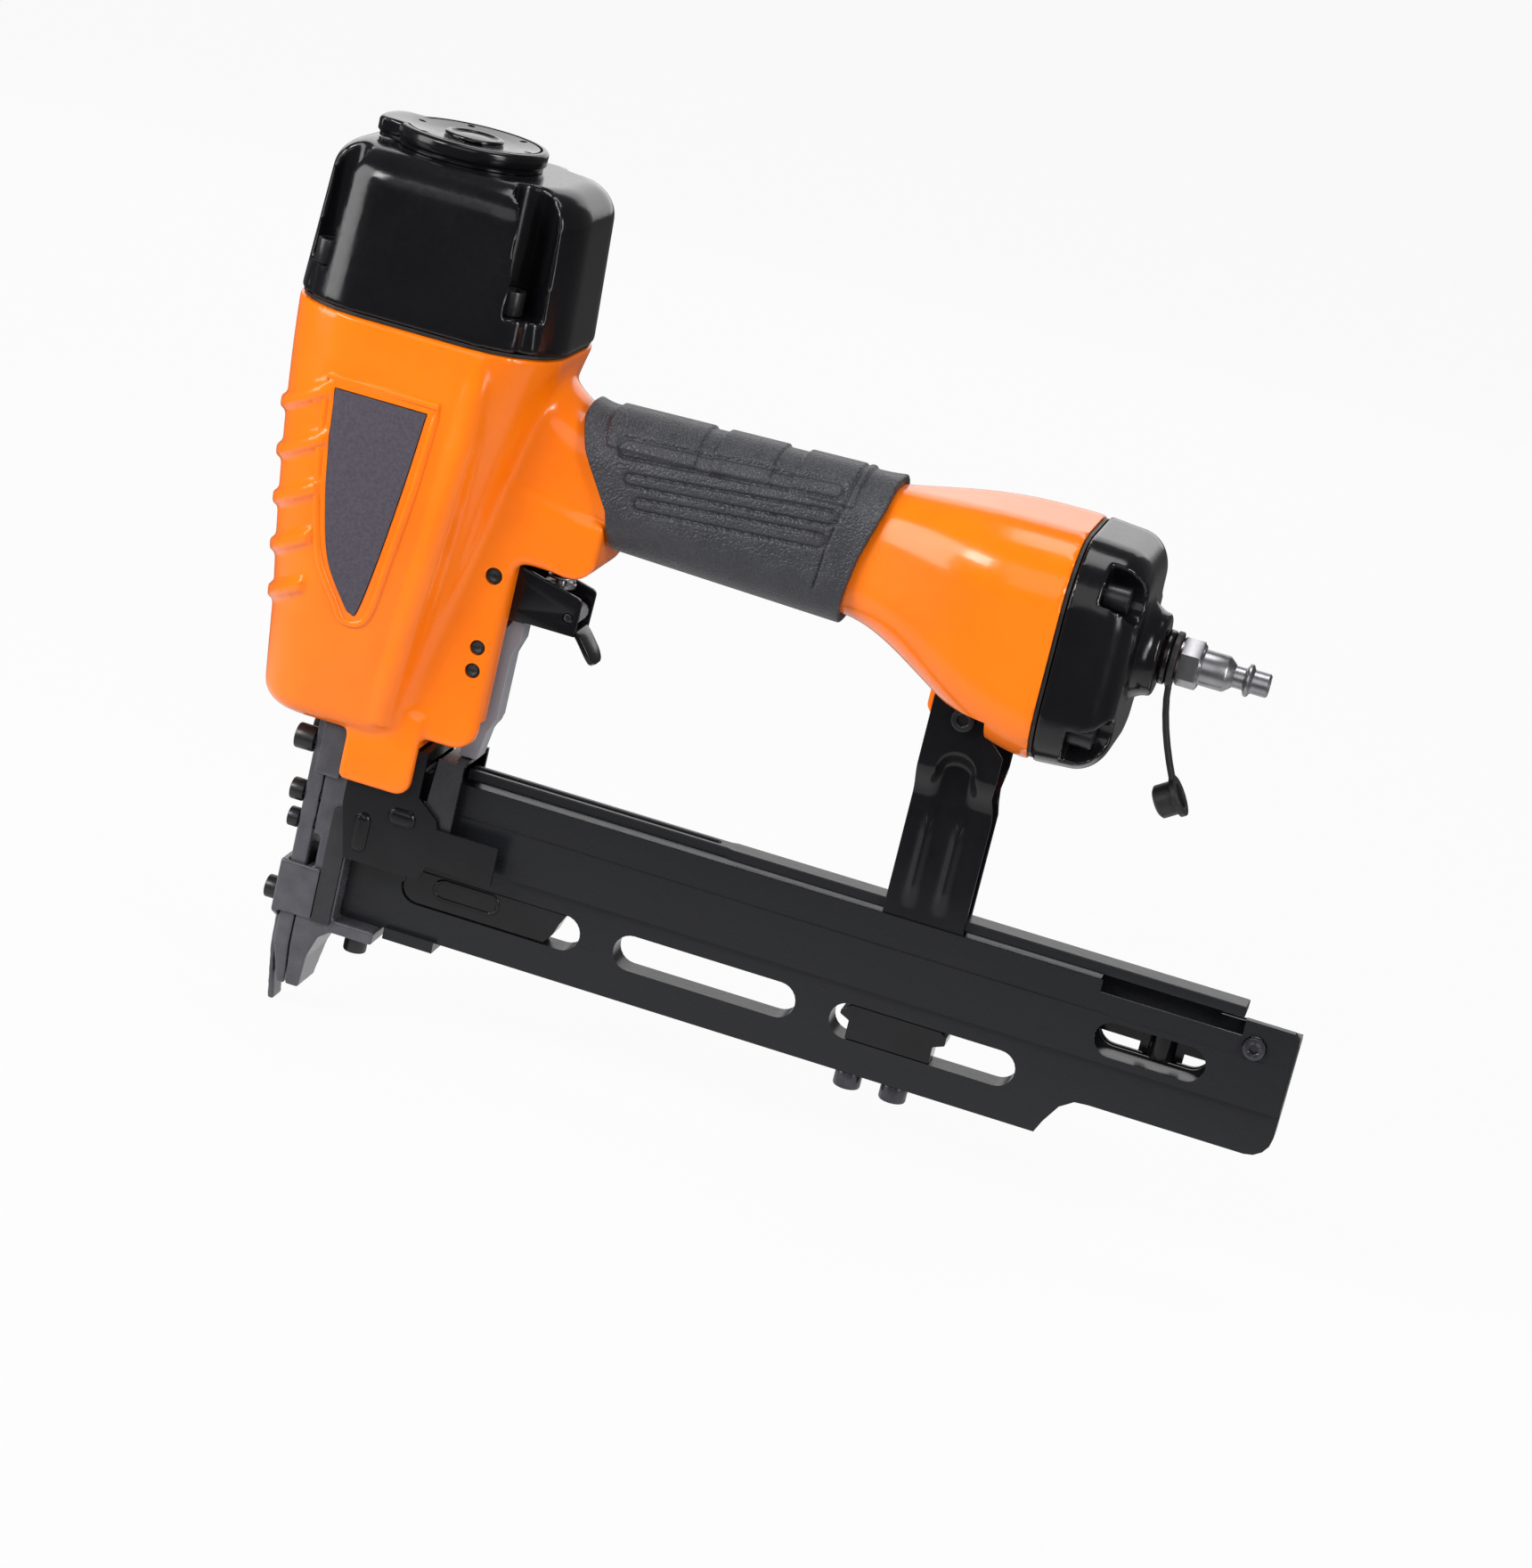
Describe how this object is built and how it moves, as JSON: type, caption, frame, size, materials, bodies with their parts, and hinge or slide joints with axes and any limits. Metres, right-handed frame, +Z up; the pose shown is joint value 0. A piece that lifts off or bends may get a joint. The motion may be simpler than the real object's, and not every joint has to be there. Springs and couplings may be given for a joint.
{
  "type": "pneumatic stapler",
  "caption": "Air-powered heavy-wire stapler: orange cast body with black cap, grip handle, trigger, nose with contact safety and a long straight rear magazine on a strut.",
  "frame": {"origin": "centre of the flat contact pad of the nose, just behind the drive channel, on the plane of symmetry at the drive exit", "axes": "+Z up the drive line towards the cap, +X back along the magazine, +Y to the tool's left as seen by its user"},
  "size_m": [0.3775, 0.0784, 0.3092],
  "materials": {
    "orange_paint": "smooth orange paint over a casting",
    "gloss_black": "gloss black paint",
    "satin_black": "satin black anodising",
    "dark_phosphate": "dark grey phosphate",
    "charcoal_rubber": "grained charcoal rubber",
    "bright_steel": "bright plated steel",
    "grey_steel": "plain grey steel",
    "inner_aluminium": "machined aluminium"
  },
  "bodies": {
    "stapler": {"housing": "orange_paint", "cylinder_cap": "gloss_black", "deflector_screw": "gloss_black", "end_cap": "gloss_black", "plug_collar": "gloss_black", "nose_bracket": "gloss_black", "latch_spring": "gloss_black", "strut": "gloss_black", "strut_foot": "gloss_black", "magazine_filler": "gloss_black", "magazine_body": "satin_black", "cap_screw_1": "dark_phosphate", "cap_screw_2": "dark_phosphate", "cap_screw_3": "dark_phosphate", "cap_screw_4": "dark_phosphate", "end_cap_screw_1": "dark_phosphate", "end_cap_screw_2": "dark_phosphate", "end_cap_screw_3": "dark_phosphate", "end_cap_screw_4": "dark_phosphate", "trigger_pin": "dark_phosphate", "guide_pin_low": "dark_phosphate", "guide_pin_high": "dark_phosphate", "foot_bolt": "dark_phosphate", "nose_body": "dark_phosphate", "nose_front_plate": "dark_phosphate", "nose_bolt_1": "dark_phosphate", "nose_bolt_2": "dark_phosphate", "nose_bolt_3": "dark_phosphate", "nose_bolt_4": "dark_phosphate", "nose_bolt_5": "dark_phosphate", "nose_bolt_6": "dark_phosphate", "magazine_bolt": "dark_phosphate", "strut_screw": "dark_phosphate", "side_pad": "charcoal_rubber", "cap_gasket": "charcoal_rubber", "bumper": "charcoal_rubber", "handle_grip": "charcoal_rubber", "end_cap_gasket": "charcoal_rubber", "air_plug": "bright_steel", "valve_spring": "bright_steel", "latch_screw": "bright_steel", "strut_bolt_1": "grey_steel", "strut_bolt_2": "grey_steel", "cylinder_sleeve": "inner_aluminium", "valve_body": "inner_aluminium"},
    "deflector": {"exhaust_deflector": "gloss_black"},
    "drive_piston": {"piston": "inner_aluminium", "piston_ring": "charcoal_rubber", "driver_blade": "bright_steel"},
    "head_valve": {"head_valve": "inner_aluminium"},
    "trigger": {"trigger": "gloss_black", "lever_pin": "dark_phosphate"},
    "trip_lever": {"trip_lever": "grey_steel"},
    "valve_stem": {"valve_stem": "bright_steel"},
    "safety": {"contact_foot": "dark_phosphate", "safety_yoke": "gloss_black", "safety_arm": "grey_steel"},
    "magazine_cover": {"magazine_cover": "satin_black"},
    "pusher": {"pusher": "dark_phosphate"},
    "dust_cap": {"dust_cap": "charcoal_rubber"}
  },
  "joints": [
    {"name": "deflector_turn", "type": "hinge", "parent": "stapler", "child": "deflector", "pos_m": [-0.0024, 0, 0.2923], "axis": [0, 0, 1], "continuous": true},
    {"name": "piston_stroke", "type": "slide", "parent": "stapler", "child": "drive_piston", "axis": [0, 0, -1], "range_m": [0, 0.088]},
    {"name": "head_valve_lift", "type": "slide", "parent": "stapler", "child": "head_valve", "axis": [0, 0, 1], "range_m": [0, 0.006], "stiffness_N_per_m": 600},
    {"name": "trigger_pull", "type": "hinge", "parent": "stapler", "child": "trigger", "pos_m": [0.0401, 0, 0.1625], "axis": [0, -1, 0], "range_deg": [0, 9], "stiffness_Nm_per_rad": 0.6},
    {"name": "lever_swing", "type": "hinge", "parent": "trigger", "child": "trip_lever", "pos_m": [0.0656, 0, 0.1537], "axis": [0, 1, 0], "range_deg": [0, 17.2]},
    {"name": "valve_lift", "type": "slide", "parent": "stapler", "child": "valve_stem", "axis": [0, 0, 1], "range_m": [0, 0.0022], "stiffness_N_per_m": 700, "deforming": ["valve_spring"]},
    {"name": "safety_press", "type": "slide", "parent": "stapler", "child": "safety", "axis": [0, 0, 1], "range_m": [0, 0.009], "stiffness_N_per_m": 700},
    {"name": "cover_slide", "type": "slide", "parent": "stapler", "child": "magazine_cover", "axis": [1, 0, 0], "range_m": [0, 0.11]},
    {"name": "pusher_feed", "type": "slide", "parent": "stapler", "child": "pusher", "axis": [1, 0, 0], "range_m": [0, 0.156], "stiffness_N_per_m": 30},
    {"name": "dust_cap_swing", "type": "hinge", "parent": "stapler", "child": "dust_cap", "pos_m": [0.2602, 0, 0.1956], "axis": [1, 0, 0], "range_deg": [-170, 170]}
  ],
  "couplings": [
    {"joint": "lever_swing", "follows": "safety_press", "rad_per_m": 32.967}
  ]
}
